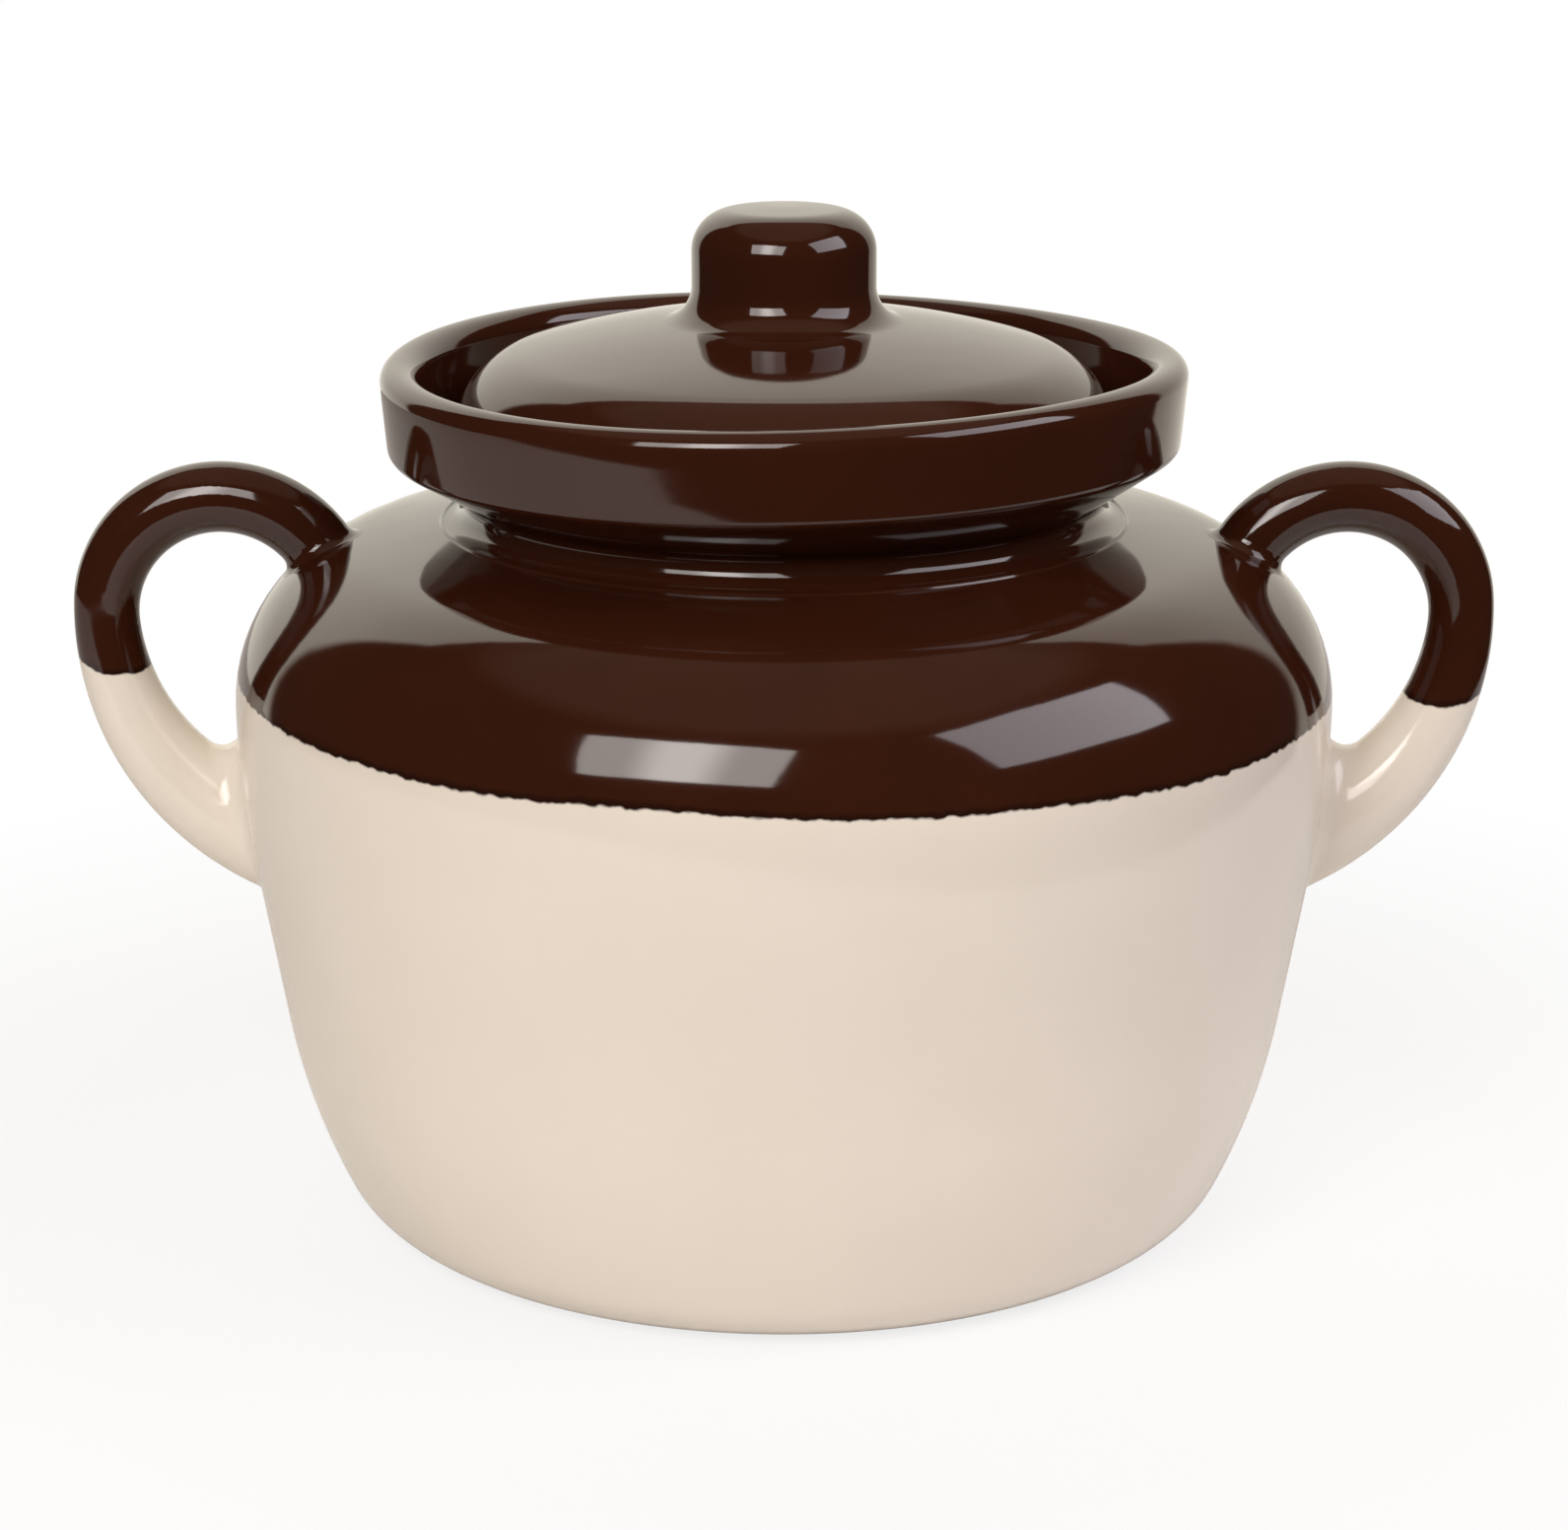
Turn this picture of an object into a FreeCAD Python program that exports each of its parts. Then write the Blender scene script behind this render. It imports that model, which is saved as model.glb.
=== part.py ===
"""A covered stoneware bean pot with two loop handles, in millimetres.

The pot stands on its foot ring at height zero, centred on the Z axis.
The handles lie in the plane of X and Z, and +Z is up.
The pot, its two handles, the lid and the knob on the lid are separate solids.
"""

import FreeCAD, Part
import math
import os

# Foot of the pot
foot_ring_width = 9.7
foot_ring_round = 1.0
foot_recess_depth = 1.6
base_thickness = 8.0

# Wall of the pot, from the heel up to the shoulder
wall_thickness = 6.4
heel_round = 15.2
heel_lean = 25.6
lower_wall_round = 111.0
wall_lean = 9.8
belly_round = 161.0
belly_radius = 97.1
belly_height = 94.2
shoulder_round = 29.0
shoulder_slope = 12.0
inner_heel_round = 16.0

# Neck and collar
neck_radius = 56.2
neck_wall = 6.4
neck_height = 4.1
neck_root_round = 3.6
neck_top_round = 1.8
neck_mouth_round = 4.0
collar_underside_slope = 32.0
collar_overhang = 14.2
collar_flare = 1.1
collar_height = 15.5
collar_edge_round = 2.2
rim_outer_round = 3.0
rim_inner_round = 4.0

# Ledge inside the collar, which carries the lid
ledge_depth = 15.2
ledge_wall = 9.0
ledge_corner_round = 2.0
ledge_edge_round = 1.5

# Lid
lid_side_clearance = 3.6
lid_edge_rise = 1.58
lid_edge_round = 15.5
lid_dome_round = 175.0
lid_wall = 6.4
lid_foot_round = 1.4
lid_ring_clearance = 1.2
lid_ring_width = 5.5
lid_ring_depth = 6.0
lid_ring_round = 1.5
lid_seat_corner_round = 1.2

# Knob on the lid
knob_radius = 16.1
knob_height = 18.2
knob_top_round = 7.2
knob_crown_rise = 0.5
knob_root_round = 6.0

# Handles, as a round bar whose centre line is a half circle and a quarter circle
handle_standoff = 23.2
handle_rise = 13.8
handle_upper_round = 20.9
handle_lower_round = 43.5
handle_top_radius = 6.25
handle_side_radius = 5.75
handle_foot_radius = 9.4
handle_foot_angle = 62.0
handle_foot_growth = 1.5
handle_upper_root_round = 2.4
handle_lower_root_round = 4.0
handle_section_count = 24

# How near an edge lies to another one that is taken as the same
same_edge_distance = 0.02

# What follows from the sizes above
bore_radius = neck_radius - neck_wall
shoulder_rise = math.tan(math.radians(shoulder_slope))
shoulder_top_radius = belly_radius - shoulder_round * (1 - math.sin(math.radians(shoulder_slope)))
shoulder_top_height = belly_height + shoulder_round * math.cos(math.radians(shoulder_slope))
neck_foot_height = shoulder_top_height + (shoulder_top_radius - neck_radius) * shoulder_rise
collar_radius = neck_radius + collar_overhang
collar_edge_radius = collar_radius - collar_flare
collar_root_height = neck_foot_height + neck_height
underside_rise = math.tan(math.radians(collar_underside_slope))
collar_edge_height = collar_root_height + (collar_edge_radius - neck_radius) * underside_rise
rim_height = collar_edge_height + collar_height
ledge_height = rim_height - ledge_depth
ledge_radius = collar_radius - ledge_wall
lid_radius = ledge_radius - lid_side_clearance
lid_edge_height = ledge_height + lid_edge_rise
lid_edge_centre_radius = lid_radius - lid_edge_round
dome_centre_drop = math.sqrt((lid_dome_round - lid_edge_round) ** 2 - lid_edge_centre_radius ** 2)
dome_centre_height = lid_edge_height - dome_centre_drop
knob_top_height = dome_centre_height + lid_dome_round + knob_height


def place(radius, height):
    """A point in the plane of X and Z, where turned outlines are drawn."""
    return FreeCAD.Vector(radius, 0, height)


def polar(centre, radius, degrees):
    """The point of a circle at an angle measured from the outward direction."""
    angle = math.radians(degrees)
    return centre + place(radius * math.cos(angle), radius * math.sin(angle))


def heading(centre, point):
    """The angle, in degrees, at which a point is seen from a centre."""
    return math.degrees(math.atan2(point.z - centre.z, point.x - centre.x))


def arc(centre, radius, start, end):
    """An arc from one angle to another, in degrees."""
    middle = polar(centre, radius, (start + end) / 2)
    return Part.Arc(polar(centre, radius, start), middle, polar(centre, radius, end)).toShape()


def line(start, end):
    """A straight edge."""
    return Part.LineSegment(start, end).toShape()


def chain(corners):
    """Straight edges through corners, each rounded by its own tangent arc.

    A corner is a point and a rounding radius, and the two ends have none.
    """
    edges = []
    last = corners[0][0]
    for (before, _), (point, rounding), (after, _) in zip(corners, corners[1:], corners[2:]):
        back = (before - point).normalize()
        ahead = (after - point).normalize()
        half_turn = back.getAngle(ahead) / 2
        reach = rounding / math.tan(half_turn)
        start = point + back * reach
        end = point + ahead * reach
        inward = (back + ahead).normalize()
        middle = point + inward * (rounding / math.sin(half_turn) - rounding)
        edges.append(line(last, start))
        edges.append(Part.Arc(start, middle, end).toShape())
        last = end
    edges.append(line(last, corners[-1][0]))
    return edges


def turned(edges):
    """A solid of revolution about the Z axis from edges that close on it.

    Its seam is turned to the back, away from the roots of the handles.
    """
    face = Part.Face(Part.Wire(Part.__sortEdges__(edges)))
    solid = face.revolve(FreeCAD.Vector(0, 0, 0), FreeCAD.Vector(0, 0, 1), 360)
    solid.rotate(FreeCAD.Vector(0, 0, 0), FreeCAD.Vector(0, 0, 1), 90)
    return solid


def shoulder_end(inset):
    """The point where the shoulder's arc, moved inwards by inset, runs into its slope."""
    centre = place(belly_radius - shoulder_round, belly_height)
    return polar(centre, shoulder_round - inset, 90 - shoulder_slope)


def on_shoulder(inset, radius):
    """The point of the shoulder's slope, moved inwards by inset, at a radius."""
    start = shoulder_end(inset)
    return place(radius, start.z + (start.x - radius) * shoulder_rise)


def wall_edges(inset, bottom, heel):
    """The heel, the wall and the shoulder's arc, from the bottom upwards.

    Inset moves the line inwards, bottom is the height where the heel is level,
    and heel is the heel's radius. The point where the heel is level is returned too.
    """
    lean = math.radians(wall_lean)
    low_lean = math.radians(heel_lean)
    belly_arc = belly_round - inset
    lower_arc = lower_wall_round - inset
    belly_centre = place(belly_radius - belly_round, belly_height)
    belly_end = polar(belly_centre, belly_arc, -wall_lean)
    lower_drop = lower_arc * (math.sin(low_lean) - math.sin(lean))
    heel_drop = heel * (1 - math.sin(low_lean))
    straight = (belly_end.z - bottom - lower_drop - heel_drop) / math.cos(lean)
    straight_end = belly_end - place(math.sin(lean), math.cos(lean)) * straight
    lower_centre = polar(straight_end, lower_arc, 180 - wall_lean)
    lower_end = polar(lower_centre, lower_arc, -heel_lean)
    heel_centre = polar(lower_end, heel, 180 - heel_lean)
    shoulder_centre = place(belly_radius - shoulder_round, belly_height)
    edges = [
        arc(heel_centre, heel, -90, -heel_lean),
        arc(lower_centre, lower_arc, -heel_lean, -wall_lean),
        line(straight_end, belly_end),
        arc(belly_centre, belly_arc, -wall_lean, 0),
        arc(shoulder_centre, shoulder_round - inset, 0, 90 - shoulder_slope),
    ]
    return edges, polar(heel_centre, heel, -90)


def outer_edges():
    """The outside of the pot from the middle of its base to the top of its rim."""
    wall, heel_bottom = wall_edges(0, 0, heel_round)
    recess_radius = heel_bottom.x - foot_ring_width
    foot = chain([
        (place(0, foot_recess_depth), 0),
        (place(recess_radius, foot_recess_depth), foot_ring_round),
        (place(recess_radius + foot_recess_depth, 0), foot_ring_round),
        (heel_bottom, 0),
    ])
    rim_centre = place(collar_radius - rim_outer_round, rim_height - rim_outer_round)
    neck = chain([
        (shoulder_end(0), 0),
        (place(neck_radius, neck_foot_height), neck_root_round),
        (place(neck_radius, collar_root_height), neck_top_round),
        (place(collar_edge_radius, collar_edge_height), collar_edge_round),
        (place(collar_radius, rim_centre.z), 0),
    ])
    return foot + wall + neck + [arc(rim_centre, rim_outer_round, 0, 90)]


def inner_edges():
    """The inside of the pot from the top of its rim to the middle of its floor."""
    wall, heel_bottom = wall_edges(wall_thickness, base_thickness, inner_heel_round)
    rim_centre = place(collar_radius - rim_outer_round, rim_height - rim_inner_round)
    neck = chain([
        (polar(rim_centre, rim_inner_round, 180), 0),
        (place(ledge_radius, ledge_height), ledge_corner_round),
        (place(bore_radius, ledge_height), ledge_edge_round),
        (on_shoulder(wall_thickness, bore_radius), neck_mouth_round),
        (shoulder_end(wall_thickness), 0),
    ])
    floor = line(heel_bottom, place(0, base_thickness))
    return [arc(rim_centre, rim_inner_round, 90, 180)] + neck + wall + [floor]


def pot_envelope():
    """The pot as if it were solid up to its neck, which trims what is joined to it."""
    wall, heel_bottom = wall_edges(0, 0, heel_round)
    neck_foot = place(neck_radius, neck_foot_height)
    closing = [
        line(place(0, 0), heel_bottom),
        line(shoulder_end(0), neck_foot),
        line(neck_foot, place(0, neck_foot_height)),
        line(place(0, neck_foot_height), place(0, 0)),
    ]
    return turned(wall + closing)


def pot_body():
    """The thrown pot: foot ring, wall, shoulder, neck, collar and lid ledge in one."""
    axis = line(place(0, foot_recess_depth), place(0, base_thickness))
    return turned(outer_edges() + inner_edges() + [axis])


def handle_section(angle):
    """The centre, the direction and the bar's radius at an angle of the centre line.

    The angle is 90 at the top of the loop, 0 at its outermost point and
    negative on the lower arc, where the bar grows towards its foot.
    """
    arc_radius = handle_upper_round if angle >= 0 else handle_lower_round
    outermost = belly_radius + handle_standoff
    centre = polar(place(outermost - arc_radius, belly_height + handle_rise), arc_radius, angle)
    if angle >= 0:
        share = math.sin(math.radians(min(angle, 90)))
        radius = handle_side_radius + (handle_top_radius - handle_side_radius) * share
    else:
        share = (-angle / handle_foot_angle) ** handle_foot_growth
        radius = handle_side_radius + (handle_foot_radius - handle_side_radius) * share
    direction = polar(FreeCAD.Vector(0, 0, 0), 1, angle - 90)
    return centre, direction, radius


def handle_bar():
    """The bar of the handle, with both of its ends inside the pot's wall.

    Its centre line runs over a half circle, from 180 to 0 degrees, and on
    over a quarter circle to -90 degrees.
    """
    sections = []
    for i in range(handle_section_count + 1):
        centre, direction, radius = handle_section(180 - 270 * i / handle_section_count)
        sections.append(Part.Wire(Part.makeCircle(radius, centre, direction)))
    return Part.makeLoft(sections, True, False)


def root_edges(joined, pot, bar, above):
    """The edges where the bar meets the pot, above or below the widest part of the belly."""
    meeting = pot.section(bar)
    found = []
    for edge in joined.Edges:
        middle = edge.valueAt((edge.FirstParameter + edge.LastParameter) / 2)
        on_meeting = meeting.distToShape(Part.Vertex(middle))[0] < same_edge_distance
        if on_meeting and (middle.z > belly_height) == above:
            found.append(edge)
    return found


def handle():
    """The loop handle on the +X side, flared into the wall at both of its roots."""
    pot = pot_envelope()
    bar = handle_bar()
    joined = pot.fuse(bar)
    flared = joined.makeFillet(handle_upper_root_round, root_edges(joined, pot, bar, True))
    flared = flared.makeFillet(handle_lower_root_round, root_edges(flared, pot, bar, False))
    pieces = flared.cut(pot).Solids
    return max(pieces, key=lambda piece: piece.Volume)


def knob_flare():
    """The centre of the knob's flare, and the point where the flare ends on the dome."""
    dome_centre = place(0, dome_centre_height)
    centre_radius = knob_radius + knob_root_round
    reach = lid_dome_round + knob_root_round
    centre = place(centre_radius, dome_centre_height + math.sqrt(reach ** 2 - centre_radius ** 2))
    return centre, dome_centre + (centre - dome_centre) * (lid_dome_round / reach)


def lid():
    """The domed lid, with a flat seat for its knob and a ring that enters the neck."""
    seat_edge = knob_flare()[1]
    seat_middle = place(0, seat_edge.z)
    edge_centre = place(lid_edge_centre_radius, lid_edge_height)
    dome_centre = place(0, dome_centre_height)
    edge_top = heading(dome_centre, edge_centre)
    top = [
        line(seat_middle, seat_edge),
        arc(dome_centre, lid_dome_round, heading(dome_centre, seat_edge), edge_top),
        arc(edge_centre, lid_edge_round, edge_top, 0),
    ]
    ring_radius = bore_radius - lid_ring_clearance
    ring_inside = ring_radius - lid_ring_width
    ring_bottom = ledge_height - lid_ring_depth
    hollow_round = lid_dome_round - lid_wall
    hollow_angle = math.degrees(math.acos(ring_inside / hollow_round))
    hollow_edge = polar(dome_centre, hollow_round, hollow_angle)
    under = chain([
        (place(lid_radius, lid_edge_height), 0),
        (place(lid_radius, ledge_height), lid_foot_round),
        (place(ring_radius, ledge_height), lid_seat_corner_round),
        (place(ring_radius, ring_bottom), lid_ring_round),
        (place(ring_inside, ring_bottom), lid_ring_round),
        (hollow_edge, 0),
    ])
    hollow = arc(dome_centre, hollow_round, hollow_angle, 90)
    axis = line(polar(dome_centre, hollow_round, 90), seat_middle)
    return turned(top + under + [hollow, axis])


def lid_knob():
    """The knob: a short post with a rounded top, flared out to meet the dome."""
    flare_centre, seat_edge = knob_flare()
    seat_middle = place(0, seat_edge.z)
    flare = arc(flare_centre, knob_root_round, heading(flare_centre, seat_edge), -180)
    top = chain([
        (place(knob_radius, flare_centre.z), 0),
        (place(knob_radius, knob_top_height - knob_crown_rise), knob_top_round),
        (place(0, knob_top_height), 0),
    ])
    seat = line(seat_middle, seat_edge)
    axis = line(place(0, knob_top_height), seat_middle)
    return turned([seat, flare] + top + [axis])


def save(shape, name):
    """Writes one solid to its file and says how large it is."""
    shape.exportStep("parts/" + name + ".step")
    box = shape.optimalBoundingBox()
    print(name, shape.isValid(), len(shape.Solids), round(shape.Volume), "cubic millimetres,")
    print("  X from", round(box.XMin, 2), "to", round(box.XMax, 2))
    print("  Z from", round(box.ZMin, 2), "to", round(box.ZMax, 2))


def main():
    os.makedirs("parts", exist_ok=True)
    right = handle()
    left = right.mirror(FreeCAD.Vector(0, 0, 0), FreeCAD.Vector(1, 0, 0))
    save(pot_body(), "pot_body")
    save(left, "left_handle")
    save(right, "right_handle")
    save(lid(), "lid")
    save(lid_knob(), "lid_knob")


main()
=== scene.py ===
"""The looks of a covered stoneware bean pot: its glazed clay, the light and the camera.

The pot's own sizes are in millimetres here and become metres by MM.
"""

import math
from types import SimpleNamespace

import bmesh
import bpy
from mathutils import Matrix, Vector


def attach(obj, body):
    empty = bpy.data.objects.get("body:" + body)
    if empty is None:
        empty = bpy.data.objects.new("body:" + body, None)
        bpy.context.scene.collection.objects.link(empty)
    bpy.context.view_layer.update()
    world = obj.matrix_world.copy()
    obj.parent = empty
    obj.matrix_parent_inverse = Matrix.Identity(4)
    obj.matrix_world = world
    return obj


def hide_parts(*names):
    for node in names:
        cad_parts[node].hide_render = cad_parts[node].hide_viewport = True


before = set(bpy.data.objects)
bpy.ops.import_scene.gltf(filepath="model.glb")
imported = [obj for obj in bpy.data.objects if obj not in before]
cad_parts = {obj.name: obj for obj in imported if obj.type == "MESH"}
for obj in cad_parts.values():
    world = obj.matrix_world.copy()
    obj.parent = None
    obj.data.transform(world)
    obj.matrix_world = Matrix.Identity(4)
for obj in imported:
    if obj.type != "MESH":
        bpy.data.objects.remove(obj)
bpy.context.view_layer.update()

MM = 0.001

# Foot and wall of the pot
FOOT_RING_WIDTH = 9.7
FOOT_RING_ROUND = 1.0
FOOT_RECESS_DEPTH = 1.6
BASE_THICKNESS = 8.0
WALL_THICKNESS = 6.4
HEEL_ROUND = 15.2
HEEL_LEAN = 25.6
LOWER_WALL_ROUND = 111.0
WALL_LEAN = 9.8
BELLY_ROUND = 161.0
BELLY_RADIUS = 97.1
BELLY_HEIGHT = 94.2
SHOULDER_ROUND = 29.0
SHOULDER_SLOPE = 12.0
INNER_HEEL_ROUND = 16.0

# Neck, collar and the ledge that carries the lid
NECK_RADIUS = 56.2
NECK_WALL = 6.4
NECK_HEIGHT = 4.1
NECK_ROOT_ROUND = 3.6
NECK_TOP_ROUND = 1.8
NECK_MOUTH_ROUND = 4.0
COLLAR_UNDERSIDE_SLOPE = 32.0
COLLAR_OVERHANG = 14.2
COLLAR_FLARE = 1.1
COLLAR_HEIGHT = 15.5
COLLAR_EDGE_ROUND = 2.2
RIM_OUTER_ROUND = 3.0
RIM_INNER_ROUND = 4.0
LEDGE_DEPTH = 15.2
LEDGE_WALL = 9.0
LEDGE_CORNER_ROUND = 2.0
LEDGE_EDGE_ROUND = 1.5

# Lid and its knob
LID_SIDE_CLEARANCE = 3.6
LID_EDGE_RISE = 1.58
LID_EDGE_ROUND = 15.5
LID_DOME_ROUND = 175.0
LID_WALL = 6.4
LID_FOOT_ROUND = 1.4
LID_RING_CLEARANCE = 1.2
LID_RING_WIDTH = 5.5
LID_RING_DEPTH = 6.0
LID_RING_ROUND = 1.5
LID_SEAT_CORNER_ROUND = 1.2
KNOB_RADIUS = 16.1
KNOB_HEIGHT = 18.2
KNOB_TOP_ROUND = 7.2
KNOB_CROWN_RISE = 0.5
KNOB_ROOT_ROUND = 6.0

# The slight warp of the rim from the kiln
RIM_WARP_SAG = 0.65
RIM_WARP_TILT = 0.45
RIM_WARP_START = 131.0
RIM_WARP_FULL = 140.0

# The fine bead that the thrower's finger left around the neck: place, half widths and height
SHOULDER_BEAD_RADIUS = 60.2
BEAD_HALF_WIDTH = 0.45
BEAD_TOP_HALF_WIDTH = 0.17
BEAD_RISE = 0.34
BEAD_ROUND = 0.16

# How finely the clay is drawn
TURN_STEPS = 216
LINE_STEP = 3.0
BEND_STEP = 2.6
BEND_STEP_ANGLE = 5.0
MERGE_DISTANCE = 0.001
LEVEL_NORMAL = 0.99999
UPWARD_NORMAL = 0.5

# What follows from the sizes above
BEAD = (
    (BEAD_HALF_WIDTH, 0), (BEAD_TOP_HALF_WIDTH, BEAD_RISE), (-BEAD_TOP_HALF_WIDTH, BEAD_RISE),
    (-BEAD_HALF_WIDTH, 0))
SHOULDER_RISE = math.tan(math.radians(SHOULDER_SLOPE))
SHOULDER_TOP_RADIUS = BELLY_RADIUS - SHOULDER_ROUND * (1 - math.sin(math.radians(SHOULDER_SLOPE)))
SHOULDER_TOP_HEIGHT = BELLY_HEIGHT + SHOULDER_ROUND * math.cos(math.radians(SHOULDER_SLOPE))
NECK_FOOT_HEIGHT = SHOULDER_TOP_HEIGHT + (SHOULDER_TOP_RADIUS - NECK_RADIUS) * SHOULDER_RISE
BORE_RADIUS = NECK_RADIUS - NECK_WALL
COLLAR_RADIUS = NECK_RADIUS + COLLAR_OVERHANG
COLLAR_EDGE_RADIUS = COLLAR_RADIUS - COLLAR_FLARE
COLLAR_ROOT_HEIGHT = NECK_FOOT_HEIGHT + NECK_HEIGHT
UNDERSIDE_RISE = math.tan(math.radians(COLLAR_UNDERSIDE_SLOPE))
COLLAR_EDGE_HEIGHT = COLLAR_ROOT_HEIGHT + (COLLAR_EDGE_RADIUS - NECK_RADIUS) * UNDERSIDE_RISE
RIM_HEIGHT = COLLAR_EDGE_HEIGHT + COLLAR_HEIGHT
LEDGE_HEIGHT = RIM_HEIGHT - LEDGE_DEPTH
LEDGE_RADIUS = COLLAR_RADIUS - LEDGE_WALL
LID_RADIUS = LEDGE_RADIUS - LID_SIDE_CLEARANCE
LID_EDGE_HEIGHT = LEDGE_HEIGHT + LID_EDGE_RISE
LID_EDGE_CENTRE_RADIUS = LID_RADIUS - LID_EDGE_ROUND
DOME_DROP = math.sqrt((LID_DOME_ROUND - LID_EDGE_ROUND) ** 2 - LID_EDGE_CENTRE_RADIUS ** 2)
DOME_CENTRE_HEIGHT = LID_EDGE_HEIGHT - DOME_DROP
KNOB_TOP_HEIGHT = DOME_CENTRE_HEIGHT + LID_DOME_ROUND + KNOB_HEIGHT


def place(radius, height):
    """A point in the plane of X and Z, where turned outlines are drawn."""
    return Vector((radius, 0, height))


def polar(centre, radius, degrees):
    """The point of a circle at an angle measured from the outward direction."""
    angle = math.radians(degrees)
    return centre + place(radius * math.cos(angle), radius * math.sin(angle))


def heading(centre, point):
    """The angle, in degrees, at which a point is seen from a centre."""
    return math.degrees(math.atan2(point.z - centre.z, point.x - centre.x))


class Outline:
    """A turned outline, drawn from its first point to its last, in millimetres."""

    def __init__(self, start):
        self.mesh = bmesh.new()
        self.tip = bmesh.ops.create_vert(self.mesh, co=start)["vert"][0]

    def line(self, end):
        """A straight run to a point."""
        start = self.tip.co.copy()
        count = math.ceil((end - start).length / LINE_STEP)
        for i in range(count):
            made = bmesh.ops.extrude_vert_indiv(self.mesh, verts=[self.tip])
            self.tip = made["verts"][0]
            self.tip.co = start.lerp(end, (i + 1) / count)

    def bend(self, centre, degrees):
        """A round run about a centre, turning from outwards to upwards if positive."""
        length = math.radians(abs(degrees)) * (self.tip.co - centre).length
        count = math.ceil(max(length / BEND_STEP, abs(degrees) / BEND_STEP_ANGLE))
        made = bmesh.ops.spin(
            self.mesh, geom=[self.tip], cent=centre, axis=(0, -1, 0),
            angle=math.radians(degrees), steps=count, use_merge=False, use_duplicate=False)
        self.tip = [item for item in made["geom_last"] if isinstance(item, bmesh.types.BMVert)][0]

    def corners(self, *corners):
        """Straight runs through rounded corners, each a point and its rounding.

        The last corner is only the point where the run ends.
        """
        for (point, rounding), (after, _) in zip(corners, corners[1:]):
            back = (self.tip.co - point).normalized()
            ahead = (after - point).normalized()
            half_turn = back.angle(ahead) / 2
            self.line(point + back * (rounding / math.tan(half_turn)))
            centre = point + (back + ahead).normalized() * (rounding / math.sin(half_turn))
            turn = 180 - 2 * math.degrees(half_turn)
            self.bend(centre, turn if back.cross(ahead).y > 0 else -turn)
        self.line(corners[-1][0])


def turned(name, outline, materials, choose=None):
    """The piece that the outline makes when it is spun once about the pot's axis."""
    mesh = outline.mesh
    bmesh.ops.spin(
        mesh, geom=mesh.verts[:] + mesh.edges[:], cent=(0, 0, 0), axis=(0, 0, 1),
        angle=math.tau, steps=TURN_STEPS, use_merge=True, use_duplicate=False)
    bmesh.ops.remove_doubles(mesh, verts=mesh.verts[:], dist=MERGE_DISTANCE)
    bmesh.ops.recalc_face_normals(mesh, faces=mesh.faces[:])
    return finished(name, mesh, materials, choose)


def finished(name, mesh, materials, choose=None):
    """The object of a mesh drawn in millimetres, at its place, smooth but for its level faces."""
    bmesh.ops.scale(mesh, vec=(MM, MM, MM), verts=mesh.verts[:])
    mesh.normal_update()
    for face in mesh.faces:
        face.smooth = abs(face.normal.z) < LEVEL_NORMAL
        if choose:
            face.material_index = choose(face)
    data = bpy.data.meshes.new(name)
    mesh.to_mesh(data)
    mesh.free()
    for material in materials:
        data.materials.append(material)
    piece = bpy.data.objects.new(name, data)
    bpy.context.scene.collection.objects.link(piece)
    return piece


def wall_places(inset, bottom, heel):
    """The centres of the wall's arcs and the ends of its straight run.

    Inset moves the wall inwards, bottom is the height where the heel is level,
    and heel is the heel's radius.
    """
    lean = math.radians(WALL_LEAN)
    low_lean = math.radians(HEEL_LEAN)
    lower_arc = LOWER_WALL_ROUND - inset
    belly_centre = place(BELLY_RADIUS - BELLY_ROUND, BELLY_HEIGHT)
    belly_end = polar(belly_centre, BELLY_ROUND - inset, -WALL_LEAN)
    lower_drop = lower_arc * (math.sin(low_lean) - math.sin(lean))
    straight = (belly_end.z - bottom - lower_drop - heel * (1 - math.sin(low_lean))) / math.cos(lean)
    straight_end = belly_end - place(math.sin(lean), math.cos(lean)) * straight
    lower_centre = polar(straight_end, lower_arc, 180 - WALL_LEAN)
    heel_centre = polar(polar(lower_centre, lower_arc, -HEEL_LEAN), heel, 180 - HEEL_LEAN)
    shoulder_centre = place(BELLY_RADIUS - SHOULDER_ROUND, BELLY_HEIGHT)
    return SimpleNamespace(
        heel_centre=heel_centre, lower_centre=lower_centre, straight_end=straight_end,
        belly_centre=belly_centre, belly_end=belly_end, shoulder_centre=shoulder_centre)


def rim_lift(point):
    """How far the fired rim has sagged or risen from level, in metres, at a point."""
    share = min(max((point.z / MM - RIM_WARP_START) / (RIM_WARP_FULL - RIM_WARP_START), 0), 1)
    around = math.atan2(point.y, point.x)
    return share * MM * (RIM_WARP_TILT * math.cos(around) - RIM_WARP_SAG * math.sin(2 * around))


def looks_inwards(face):
    """Whether a face of the pot belongs to its inside."""
    centre = face.calc_center_median()
    outwards = centre.x * face.normal.x + centre.y * face.normal.y
    floor = face.normal.z > UPWARD_NORMAL and centre.z < BELLY_HEIGHT * MM / 2
    return floor or outwards < 0 and centre.z > BASE_THICKNESS * MM


def on_shoulder(radius, rise):
    """The point at a radius on the sloping shoulder, raised from it."""
    return place(radius, NECK_FOOT_HEIGHT - (radius - NECK_RADIUS) * SHOULDER_RISE + rise)


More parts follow.
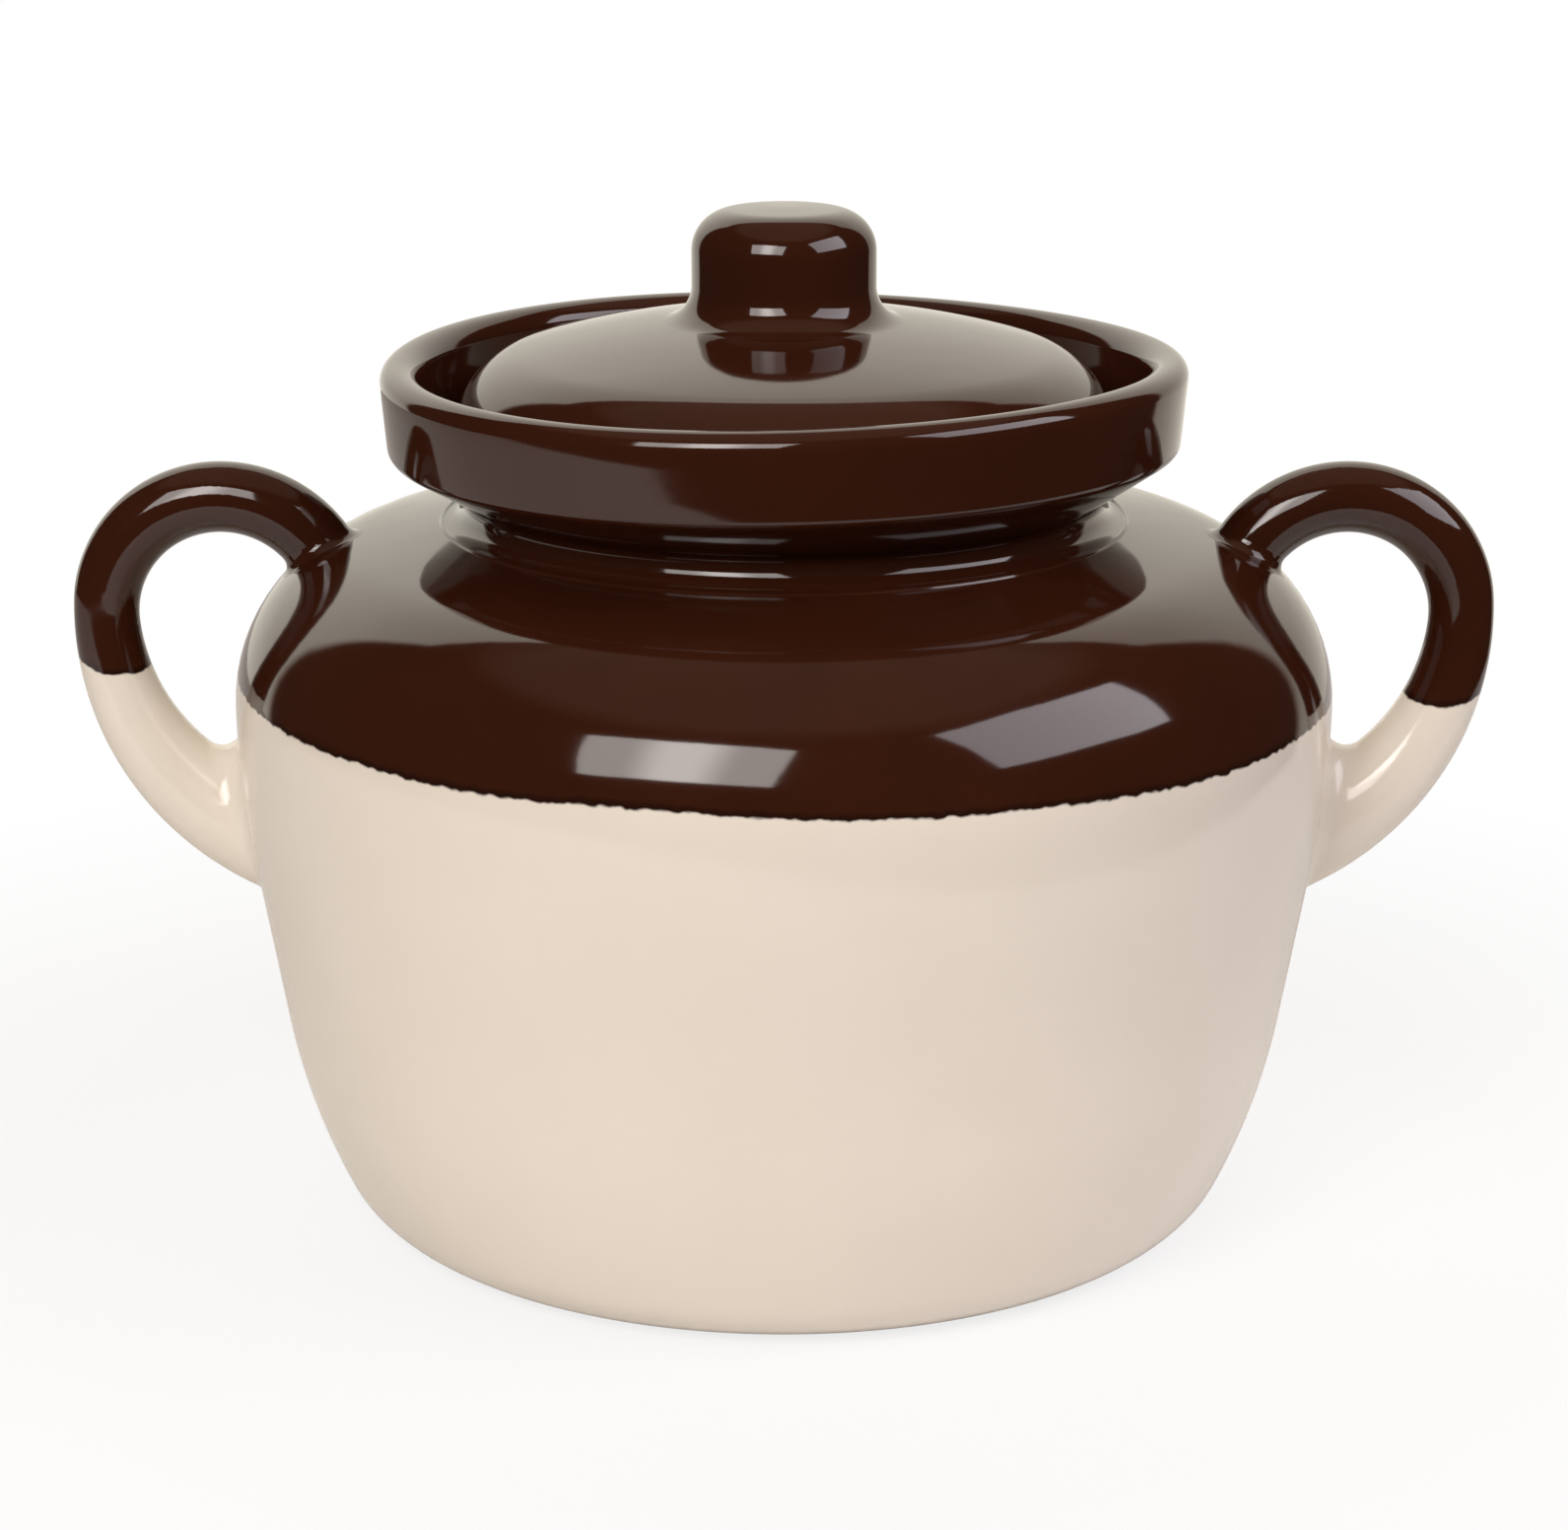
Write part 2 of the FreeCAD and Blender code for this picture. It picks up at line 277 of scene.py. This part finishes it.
def pot_body():
    """The thrown pot, with the slight warp of its rim."""
    outer = wall_places(0, 0, HEEL_ROUND)
    heel_bottom = polar(outer.heel_centre, HEEL_ROUND, -90)
    recess_radius = heel_bottom.x - FOOT_RING_WIDTH
    outline = Outline(place(0, FOOT_RECESS_DEPTH))
    outline.corners(
        (place(recess_radius, FOOT_RECESS_DEPTH), FOOT_RING_ROUND),
        (place(recess_radius + FOOT_RECESS_DEPTH, 0), FOOT_RING_ROUND),
        (heel_bottom, 0))
    outline.bend(outer.heel_centre, 90 - HEEL_LEAN)
    outline.bend(outer.lower_centre, HEEL_LEAN - WALL_LEAN)
    outline.line(outer.belly_end)
    outline.bend(outer.belly_centre, WALL_LEAN)
    outline.bend(outer.shoulder_centre, 90 - SHOULDER_SLOPE)
    rim_outer = place(COLLAR_RADIUS - RIM_OUTER_ROUND, RIM_HEIGHT - RIM_OUTER_ROUND)
    bead = [(on_shoulder(SHOULDER_BEAD_RADIUS + along, rise), BEAD_ROUND) for along, rise in BEAD]
    outline.corners(
        *bead,
        (place(NECK_RADIUS, NECK_FOOT_HEIGHT), NECK_ROOT_ROUND),
        (place(NECK_RADIUS, COLLAR_ROOT_HEIGHT), NECK_TOP_ROUND),
        (place(COLLAR_EDGE_RADIUS, COLLAR_EDGE_HEIGHT), COLLAR_EDGE_ROUND),
        (place(COLLAR_RADIUS, rim_outer.z), 0))
    outline.bend(rim_outer, 90)
    outline.bend(place(rim_outer.x, RIM_HEIGHT - RIM_INNER_ROUND), 90)
    inner = wall_places(WALL_THICKNESS, BASE_THICKNESS, INNER_HEEL_ROUND)
    shoulder_end = polar(inner.shoulder_centre, SHOULDER_ROUND - WALL_THICKNESS, 90 - SHOULDER_SLOPE)
    mouth = place(BORE_RADIUS, shoulder_end.z + (shoulder_end.x - BORE_RADIUS) * SHOULDER_RISE)
    outline.corners(
        (place(LEDGE_RADIUS, LEDGE_HEIGHT), LEDGE_CORNER_ROUND),
        (place(BORE_RADIUS, LEDGE_HEIGHT), LEDGE_EDGE_ROUND),
        (mouth, NECK_MOUTH_ROUND),
        (shoulder_end, 0))
    outline.bend(inner.shoulder_centre, SHOULDER_SLOPE - 90)
    outline.bend(inner.belly_centre, -WALL_LEAN)
    outline.line(inner.straight_end)
    outline.bend(inner.lower_centre, WALL_LEAN - HEEL_LEAN)
    outline.bend(inner.heel_centre, HEEL_LEAN - 90)
    outline.line(place(0, BASE_THICKNESS))
    piece = turned("glazed_pot", outline, [two_tone_glaze(), brown_glaze()], looks_inwards)
    for vertex in piece.data.vertices:
        vertex.co.z += rim_lift(vertex.co)
    return piece


def knob_flare():
    """The centre of the knob's flare, and the point where the flare ends on the dome."""
    dome_centre = place(0, DOME_CENTRE_HEIGHT)
    centre_radius = KNOB_RADIUS + KNOB_ROOT_ROUND
    reach = LID_DOME_ROUND + KNOB_ROOT_ROUND
    centre = place(centre_radius, DOME_CENTRE_HEIGHT + math.sqrt(reach ** 2 - centre_radius ** 2))
    return centre, dome_centre + (centre - dome_centre) * (LID_DOME_ROUND / reach)


def lid_and_knob():
    """The domed lid and the knob that was stuck on it, under one unbroken coat of glaze."""
    flare_centre, seat_edge = knob_flare()
    edge_centre = place(LID_EDGE_CENTRE_RADIUS, LID_EDGE_HEIGHT)
    dome_centre = place(0, DOME_CENTRE_HEIGHT)
    edge_top = heading(dome_centre, edge_centre)
    outline = Outline(place(0, KNOB_TOP_HEIGHT))
    outline.corners(
        (place(KNOB_RADIUS, KNOB_TOP_HEIGHT - KNOB_CROWN_RISE), KNOB_TOP_ROUND),
        (place(KNOB_RADIUS, flare_centre.z), 0))
    outline.bend(flare_centre, 180 + heading(flare_centre, seat_edge))
    outline.bend(dome_centre, edge_top - heading(dome_centre, seat_edge))
    outline.bend(edge_centre, -edge_top)
    ring_radius = BORE_RADIUS - LID_RING_CLEARANCE
    ring_inside = ring_radius - LID_RING_WIDTH
    ring_bottom = LEDGE_HEIGHT - LID_RING_DEPTH
    hollow_round = LID_DOME_ROUND - LID_WALL
    hollow_angle = math.degrees(math.acos(ring_inside / hollow_round))
    outline.corners(
        (place(LID_RADIUS, LEDGE_HEIGHT), LID_FOOT_ROUND),
        (place(ring_radius, LEDGE_HEIGHT), LID_SEAT_CORNER_ROUND),
        (place(ring_radius, ring_bottom), LID_RING_ROUND),
        (place(ring_inside, ring_bottom), LID_RING_ROUND),
        (polar(dome_centre, hollow_round, hollow_angle), 0))
    outline.bend(dome_centre, 90 - hollow_angle)
    return turned("glazed_lid_and_knob", outline, [brown_glaze()])


# Where the dipped brown glaze ends on the pot, and how it wanders, in millimetres and degrees
GLAZE_LINE_HEIGHT = 98.3
GLAZE_LINE_WANDER = 2.4
GLAZE_LINE_RAGGED = 1.2
GLAZE_LINE_BLUR = 0.25
GLAZE_LINE_TILT = 1.0
GLAZE_LINE_DROP_LEFT = 2.5
GLAZE_LINE_DROP_RIGHT = 4.5
HANDLE_START = 97.5
HANDLE_FULL = 106.0
GLAZE_SAG_PLACE = 116.5
GLAZE_SAG = 0.03
GLAZE_EDGE_WIDTH = 1.6
BARE_FOOT_TOP = 1.3
BARE_FOOT_FULL = 0.9

# How wide and how high the unevenness of the glaze is, in millimetres
SWELL_WIDTH = 14
SWELL_HEIGHT = 0.06
PEEL_WIDTH = 1.6
PEEL_HEIGHT = 0.002
CLOUD_WIDTH = 18
WANDER_WIDTH = 45
RAGGED_WIDTH = 2.2

# What the eye gets from the glazes: colours as sRGB codes, gloss as roughness
BROWN_DEEP = "#2F150B"
BROWN_THIN = "#3A1B0E"
BROWN_EDGE = "#1E0D07"
CREAM_DEEP = "#E7DFD1"
CREAM_THIN = "#ECE4D7"
BARE_CLAY = "#B79A78"
BROWN_ROUGHNESS = 0.07
CREAM_ROUGHNESS = 0.11
CLAY_ROUGHNESS = 0.85
GLAZE_IOR = 1.5


def linear(code):
    """The linear colour of an sRGB hex code, opaque."""
    shares = [int(code[i:i + 2], 16) / 255 for i in (1, 3, 5)]
    return [s / 12.92 if s <= 0.04045 else ((s + 0.055) / 1.055) ** 2.4 for s in shares] + [1]


def add(tree, kind, inputs=None, **settings):
    """A new node with its settings; its inputs are values, or outputs of other nodes."""
    made = tree.nodes.new(kind)
    for key, value in settings.items():
        setattr(made, key, value)
    for key, value in (inputs or {}).items():
        if isinstance(value, bpy.types.NodeSocket):
            tree.links.new(value, made.inputs[key])
        else:
            made.inputs[key].default_value = value
    return made


def new_material(name):
    """An empty material, with its node tree and its output node."""
    material = bpy.data.materials.new(name)
    material.use_nodes = True
    tree = material.node_tree
    tree.nodes.clear()
    return material, tree, add(tree, "ShaderNodeOutputMaterial")


def glaze_surface(tree, where):
    """The bump of a glaze that ran a little on the throwing rings before it set."""
    swell = add(tree, "ShaderNodeTexNoise", {
        "Vector": where, "Scale": 1 / (SWELL_WIDTH * MM), "Detail": 1.0})
    peel = add(tree, "ShaderNodeTexNoise", {
        "Vector": where, "Scale": 1 / (PEEL_WIDTH * MM), "Detail": 1.0})
    broad = add(tree, "ShaderNodeBump", {
        "Height": swell.outputs["Fac"], "Strength": 1.0, "Distance": SWELL_HEIGHT * MM})
    fine = add(tree, "ShaderNodeBump", {
        "Height": peel.outputs["Fac"], "Strength": 1.0, "Distance": PEEL_HEIGHT * MM,
        "Normal": broad.outputs["Normal"]})
    return fine.outputs["Normal"]


def brown_clouds(tree, where):
    """The soft clouds in the glazes, and the brown that they give."""
    cloud = add(tree, "ShaderNodeTexNoise", {
        "Vector": where, "Scale": 1 / (CLOUD_WIDTH * MM), "Detail": 3.0}).outputs["Fac"]
    brown = add(tree, "ShaderNodeMix", {
        "Factor": cloud, "A": linear(BROWN_DEEP), "B": linear(BROWN_THIN)}, data_type="RGBA")
    return cloud, brown.outputs["Result"]


def brown_glaze():
    """Dark brown stoneware glaze: it gives the eye a deep, wet gloss over nearly black brown."""
    if "brown_stoneware_glaze" in bpy.data.materials:
        return bpy.data.materials["brown_stoneware_glaze"]
    material, tree, output = new_material("brown_stoneware_glaze")
    where = add(tree, "ShaderNodeTexCoord").outputs["Object"]
    _, brown = brown_clouds(tree, where)
    glaze = add(tree, "ShaderNodeBsdfPrincipled", {
        "Base Color": brown, "Roughness": BROWN_ROUGHNESS, "IOR": GLAZE_IOR,
        "Normal": glaze_surface(tree, where)})
    tree.links.new(glaze.outputs["BSDF"], output.inputs["Surface"])
    return material


def two_tone_glaze():
    """Cream stoneware glaze dipped in brown down to the belly, with a foot of bare clay.

    It gives the eye the pot's two smooth zones, the ragged dark line where they meet,
    and the dry buff ring that the pot stands on.
    """
    if "two_tone_stoneware_glaze" in bpy.data.materials:
        return bpy.data.materials["two_tone_stoneware_glaze"]
    material, tree, output = new_material("two_tone_stoneware_glaze")
    where = add(tree, "ShaderNodeTexCoord").outputs["Object"]
    axes = add(tree, "ShaderNodeSeparateXYZ", {"Vector": where})
    wander = add(tree, "ShaderNodeTexNoise", {
        "Vector": where, "Scale": 1 / (WANDER_WIDTH * MM), "Detail": 0.0})
    ragged = add(tree, "ShaderNodeTexNoise", {
        "Vector": where, "Scale": 1 / (RAGGED_WIDTH * MM), "Detail": 1.0})
    level = add(tree, "ShaderNodeMath", {
        0: axes.outputs["X"], 1: math.tan(math.radians(GLAZE_LINE_TILT)), 2: axes.outputs["Z"]},
        operation="MULTIPLY_ADD").outputs[0]
    for side, drop in ((1, GLAZE_LINE_DROP_RIGHT), (-1, GLAZE_LINE_DROP_LEFT)):
        lowered = add(tree, "ShaderNodeMapRange", {
            "Value": axes.outputs["X"], "From Min": side * HANDLE_START * MM,
            "From Max": side * HANDLE_FULL * MM, "To Min": 0, "To Max": drop * MM},
            interpolation_type="SMOOTHSTEP").outputs["Result"]
        level = add(tree, "ShaderNodeMath", {0: level, 1: lowered}, operation="ADD").outputs[0]
    aside = add(tree, "ShaderNodeMath", {0: axes.outputs["X"]}, operation="ABSOLUTE").outputs[0]
    on_handle = add(tree, "ShaderNodeMapRange", {
        "Value": aside, "From Min": HANDLE_START * MM, "From Max": HANDLE_FULL * MM,
        "To Min": 0, "To Max": -GLAZE_SAG / MM}, interpolation_type="SMOOTHSTEP").outputs["Result"]
    across = add(tree, "ShaderNodeMath", {
        0: aside, 1: GLAZE_SAG_PLACE * MM}, operation="SUBTRACT").outputs[0]
    square = add(tree, "ShaderNodeMath", {0: across, 1: across}, operation="MULTIPLY").outputs[0]
    level = add(tree, "ShaderNodeMath", {
        0: square, 1: on_handle, 2: level}, operation="MULTIPLY_ADD").outputs[0]
    level = add(tree, "ShaderNodeMath", {
        0: wander.outputs["Fac"], 1: GLAZE_LINE_WANDER * MM, 2: level}, operation="MULTIPLY_ADD").outputs[0]
    level = add(tree, "ShaderNodeMath", {
        0: ragged.outputs["Fac"], 1: GLAZE_LINE_RAGGED * MM, 2: level}, operation="MULTIPLY_ADD").outputs[0]
    line = (GLAZE_LINE_HEIGHT + GLAZE_LINE_WANDER / 2 + GLAZE_LINE_RAGGED / 2) * MM
    dipped = add(tree, "ShaderNodeMapRange", {
        "Value": level, "From Min": line - GLAZE_LINE_BLUR * MM, "From Max": line + GLAZE_LINE_BLUR * MM},
        interpolation_type="SMOOTHSTEP").outputs["Result"]
    depth = add(tree, "ShaderNodeMapRange", {
        "Value": level, "From Min": line, "From Max": line + GLAZE_EDGE_WIDTH * MM},
        interpolation_type="SMOOTHSTEP").outputs["Result"]
    cloud, brown = brown_clouds(tree, where)
    edged = add(tree, "ShaderNodeMix", {
        "Factor": depth, "A": linear(BROWN_EDGE), "B": brown}, data_type="RGBA")
    cream = add(tree, "ShaderNodeMix", {
        "Factor": cloud, "A": linear(CREAM_DEEP), "B": linear(CREAM_THIN)}, data_type="RGBA")
    colour = add(tree, "ShaderNodeMix", {
        "Factor": dipped, "A": cream.outputs["Result"], "B": edged.outputs["Result"]}, data_type="RGBA")
    foot = add(tree, "ShaderNodeMapRange", {
        "Value": axes.outputs["Z"], "From Min": BARE_FOOT_TOP * MM,
        "From Max": BARE_FOOT_FULL * MM}).outputs["Result"]
    with_foot = add(tree, "ShaderNodeMix", {
        "Factor": foot, "A": colour.outputs["Result"], "B": linear(BARE_CLAY)}, data_type="RGBA")
    gloss = add(tree, "ShaderNodeMapRange", {
        "Value": dipped, "To Min": CREAM_ROUGHNESS, "To Max": BROWN_ROUGHNESS})
    roughness = add(tree, "ShaderNodeMapRange", {
        "Value": foot, "To Min": gloss.outputs["Result"], "To Max": CLAY_ROUGHNESS})
    glaze = add(tree, "ShaderNodeBsdfPrincipled", {
        "Base Color": with_foot.outputs["Result"], "Roughness": roughness.outputs["Result"],
        "IOR": GLAZE_IOR, "Normal": glaze_surface(tree, where)})
    tree.links.new(glaze.outputs["BSDF"], output.inputs["Surface"])
    return material


# The studio, in metres: where its lamps aim and stand, and where its table top lies
AIM = Vector((0, 0, 0.1))
LAMP_DISTANCE = 1.15
FLOOR_RADIUS = 0.56
FLOOR_CENTRE = Vector((-0.2, 0.19, 0))
FLOOR_SIDES = 128

# How much of the table top is plain white for the camera, close to the pot and away from it
FLOOR_NEAR = 0.14
FLOOR_FAR = 0.3
FLOOR_NEAR_WHITE = 0.8
FLOOR_FAR_WHITE = 1.0
FLOOR_GREY = (0.85, 0.85, 0.85, 1)

# A lamp's cloth, in shares of its width: its middle, and how far its brighter core reaches
CLOTH_MIDDLE = 0.5
CORE_EDGE = 0.28
CORE_FULL = 0.05

# The white backdrop that the glaze mirrors: where it ends, in degrees or as the height
# of a direction, and how bright it is
BACKDROP_SIDE = (51, 48)
BACKDROP_TOP = (57, 56)
BACKDROP_BOTTOM = (-0.35, -0.3)
BACKDROP_CLIMB = (0.1, 0.5)
BACKDROP_LOW_STRENGTH = 1.08
BACKDROP_HIGH_STRENGTH = 1.65
BACKDROP_SPAN = (-45, 45)
BACKDROP_LEFT_SHARE = 1.1
BACKDROP_RIGHT_SHARE = 0.75
BACKDROP_TINT = "#FFF9EA"
CEILING_START = (50, 58)
ROOM_STRENGTH = 0.04
CEILING_STRENGTH = 0.3
ROOM_TINT = "#FFD9C0"

# The camera, in metres and degrees; its lens in the photograph's pixels
CAMERA_DISTANCE = 0.7
CAMERA_HEIGHT = 0.2804
CAMERA_LOOKS_DOWN = 16
FOCAL_PIXELS = 4114
PICTURE_PIXELS = 1591
SENSOR_WIDTH = 36

WHITE = (1, 1, 1, 1)


def softbox(name, azimuths, elevations, radiance, colour, core=0, slant=0):
    """A rectangular lamp that covers a range of azimuth and elevation, seen from the pot.

    Azimuth is 0 towards the camera and grows to its right. Core is how much brighter
    the cloth glows in front of its bulb, and slant how much brighter towards one side.
    """
    azimuth = math.radians(sum(azimuths) / 2)
    elevation = math.radians(sum(elevations) / 2)
    outwards = Vector((
        math.sin(azimuth) * math.cos(elevation), -math.cos(azimuth) * math.cos(elevation),
        math.sin(elevation)))
    lamp = bpy.data.lights.new(name, "AREA")
    lamp.shape = "RECTANGLE"
    half_width = math.radians(azimuths[1] - azimuths[0]) / 2
    half_height = math.radians(elevations[1] - elevations[0]) / 2
    lamp.size = 2 * LAMP_DISTANCE * math.tan(half_width) * math.cos(elevation)
    lamp.size_y = 2 * LAMP_DISTANCE * math.tan(half_height)
    lamp.energy = math.pi * radiance * lamp.size * lamp.size_y
    lamp.color = linear(colour)[:3]
    lamp.use_nodes = True
    tree = lamp.node_tree
    tree.nodes.clear()
    output = add(tree, "ShaderNodeOutputLight")
    across = add(tree, "ShaderNodeSeparateXYZ", {
        "Vector": add(tree, "ShaderNodeNewGeometry").outputs["Parametric"]}).outputs["X"]
    aside = add(tree, "ShaderNodeMath", {0: across, 1: CLOTH_MIDDLE}, operation="SUBTRACT").outputs[0]
    aside = add(tree, "ShaderNodeMath", {0: aside}, operation="ABSOLUTE").outputs[0]
    hot = add(tree, "ShaderNodeMapRange", {
        "Value": aside, "From Min": CORE_EDGE, "From Max": CORE_FULL, "To Min": 1 - slant / 2,
        "To Max": 1 - slant / 2 + core}, interpolation_type="SMOOTHSTEP").outputs["Result"]
    level = add(tree, "ShaderNodeMath", {0: across, 1: slant, 2: hot}, operation="MULTIPLY_ADD").outputs[0]
    cloth = add(tree, "ShaderNodeEmission", {"Strength": level})
    tree.links.new(cloth.outputs["Emission"], output.inputs["Surface"])
    box = bpy.data.objects.new(name, lamp)
    box.location = AIM + outwards * LAMP_DISTANCE
    box.rotation_euler = outwards.to_track_quat("Z", "Y").to_euler()
    box.visible_camera = False
    bpy.context.scene.collection.objects.link(box)


def studio_world():
    """White for the camera, and for the glaze's mirror images a white backdrop and a dim ceiling.

    The backdrop runs on below the table's level, so that the steep edges of the glaze stay pale.
    """
    world = bpy.data.worlds.new("studio")
    bpy.context.scene.world = world
    world.use_nodes = True
    tree = world.node_tree
    tree.nodes.clear()
    output = add(tree, "ShaderNodeOutputWorld")
    axes = add(tree, "ShaderNodeSeparateXYZ", {
        "Vector": add(tree, "ShaderNodeTexCoord").outputs["Generated"]})
    azimuth = add(tree, "ShaderNodeMath", {0: axes.outputs["X"], 1: axes.outputs["Y"]}, operation="ARCTAN2")
    aside = add(tree, "ShaderNodeMath", {0: azimuth.outputs[0]}, operation="ABSOLUTE").outputs[0]
    behind = add(tree, "ShaderNodeMapRange", {
        "Value": aside, "From Min": math.radians(BACKDROP_SIDE[0]),
        "From Max": math.radians(BACKDROP_SIDE[1])}).outputs["Result"]
    rise = add(tree, "ShaderNodeMath", {0: axes.outputs["Z"], 1: axes.outputs["Y"]}, operation="DIVIDE")
    under_top = add(tree, "ShaderNodeMapRange", {
        "Value": rise.outputs[0], "From Min": math.tan(math.radians(BACKDROP_TOP[0])),
        "From Max": math.tan(math.radians(BACKDROP_TOP[1]))}).outputs["Result"]
    over_bottom = add(tree, "ShaderNodeMapRange", {
        "Value": axes.outputs["Z"], "From Min": BACKDROP_BOTTOM[0],
        "From Max": BACKDROP_BOTTOM[1]}).outputs["Result"]
    screen = add(tree, "ShaderNodeMath", {0: behind, 1: under_top}, operation="MULTIPLY").outputs[0]
    screen = add(tree, "ShaderNodeMath", {0: screen, 1: over_bottom}, operation="MULTIPLY").outputs[0]
    climb = add(tree, "ShaderNodeMapRange", {
        "Value": axes.outputs["Z"], "From Min": BACKDROP_CLIMB[0], "From Max": BACKDROP_CLIMB[1],
        "To Min": BACKDROP_LOW_STRENGTH, "To Max": BACKDROP_HIGH_STRENGTH}).outputs["Result"]
    fall = add(tree, "ShaderNodeMapRange", {
        "Value": azimuth.outputs[0], "From Min": math.radians(BACKDROP_SPAN[0]),
        "From Max": math.radians(BACKDROP_SPAN[1]), "To Min": BACKDROP_LEFT_SHARE,
        "To Max": BACKDROP_RIGHT_SHARE}).outputs["Result"]
    bright = add(tree, "ShaderNodeMath", {0: climb, 1: fall}, operation="MULTIPLY").outputs[0]
    screen = add(tree, "ShaderNodeMath", {0: screen, 1: bright}, operation="MULTIPLY").outputs[0]
    high = add(tree, "ShaderNodeMapRange", {
        "Value": axes.outputs["Z"], "From Min": math.sin(math.radians(CEILING_START[0])),
        "From Max": math.sin(math.radians(CEILING_START[1])), "To Min": ROOM_STRENGTH,
        "To Max": CEILING_STRENGTH}).outputs["Result"]
    level = add(tree, "ShaderNodeMath", {0: screen, 1: high}, operation="ADD").outputs[0]
    seen = add(tree, "ShaderNodeLightPath").outputs["Is Camera Ray"]
    strength = add(tree, "ShaderNodeMix", {"Factor": seen, "A": level, "B": 1.0}, data_type="FLOAT")
    warmth = add(tree, "ShaderNodeMix", {
        "Factor": screen, "A": linear(ROOM_TINT), "B": linear(BACKDROP_TINT)}, data_type="RGBA")
    tint = add(tree, "ShaderNodeMix", {
        "Factor": seen, "A": warmth.outputs["Result"], "B": WHITE}, data_type="RGBA")
    glow = add(tree, "ShaderNodeBackground", {
        "Color": tint.outputs["Result"], "Strength": strength.outputs["Result"]})
    tree.links.new(glow.outputs["Background"], output.inputs["Surface"])


def studio_floor():
    """A round pale table top, which fades to white for the camera away from the pot."""
    mesh = bmesh.new()
    bmesh.ops.create_circle(mesh, cap_ends=True, segments=FLOOR_SIDES, radius=FLOOR_RADIUS)
    bmesh.ops.translate(mesh, vec=FLOOR_CENTRE, verts=mesh.verts[:])
    data = bpy.data.meshes.new("studio_floor")
    mesh.to_mesh(data)
    mesh.free()
    material, tree, output = new_material("pale_table_top")
    where = add(tree, "ShaderNodeTexCoord").outputs["Object"]
    away = add(tree, "ShaderNodeVectorMath", {0: where}, operation="LENGTH").outputs["Value"]
    white = add(tree, "ShaderNodeMapRange", {
        "Value": away, "From Min": FLOOR_NEAR, "From Max": FLOOR_FAR, "To Min": FLOOR_NEAR_WHITE,
        "To Max": FLOOR_FAR_WHITE}).outputs["Result"]
    seen = add(tree, "ShaderNodeLightPath").outputs["Is Camera Ray"]
    share = add(tree, "ShaderNodeMath", {0: white, 1: seen}, operation="MULTIPLY").outputs[0]
    matt = add(tree, "ShaderNodeBsdfDiffuse", {"Color": FLOOR_GREY}).outputs["BSDF"]
    glow = add(tree, "ShaderNodeEmission", {"Color": WHITE, "Strength": 1.0}).outputs["Emission"]
    both = add(tree, "ShaderNodeMixShader", {"Fac": share, 1: matt, 2: glow})
    tree.links.new(both.outputs["Shader"], output.inputs["Surface"])
    data.materials.append(material)
    floor = bpy.data.objects.new("studio_floor", data)
    bpy.context.scene.collection.objects.link(floor)


def studio_camera():
    """The camera, where the photograph's outlines put it."""
    camera = bpy.data.cameras.new("studio_camera")
    camera.sensor_width = SENSOR_WIDTH
    camera.lens = FOCAL_PIXELS / PICTURE_PIXELS * SENSOR_WIDTH
    viewer = bpy.data.objects.new("studio_camera", camera)
    viewer.location = (0, -CAMERA_DISTANCE, CAMERA_HEIGHT)
    viewer.rotation_euler = (math.radians(90 - CAMERA_LOOKS_DOWN), 0, 0)
    bpy.context.scene.collection.objects.link(viewer)
    bpy.context.scene.camera = viewer


studio_camera()
studio_world()
studio_floor()
softbox("softbox", (-44, 0), (20.5, 44), 6.1, "#FFF9F5", core=0.95)
softbox("window", (41, 91), (22.5, 49), 4.3, "#FBF6FC", slant=0.25)
bpy.context.scene.view_settings.view_transform = "Standard"

glazed_pot = pot_body()
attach(glazed_pot, "pot")
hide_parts("pot_body")
glazed_lid = lid_and_knob()
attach(glazed_lid, "lid")
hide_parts("lid", "lid_knob")
for name in ("left_handle", "right_handle"):
    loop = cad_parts[name]
    loop.data.materials.clear()
    loop.data.materials.append(two_tone_glaze())
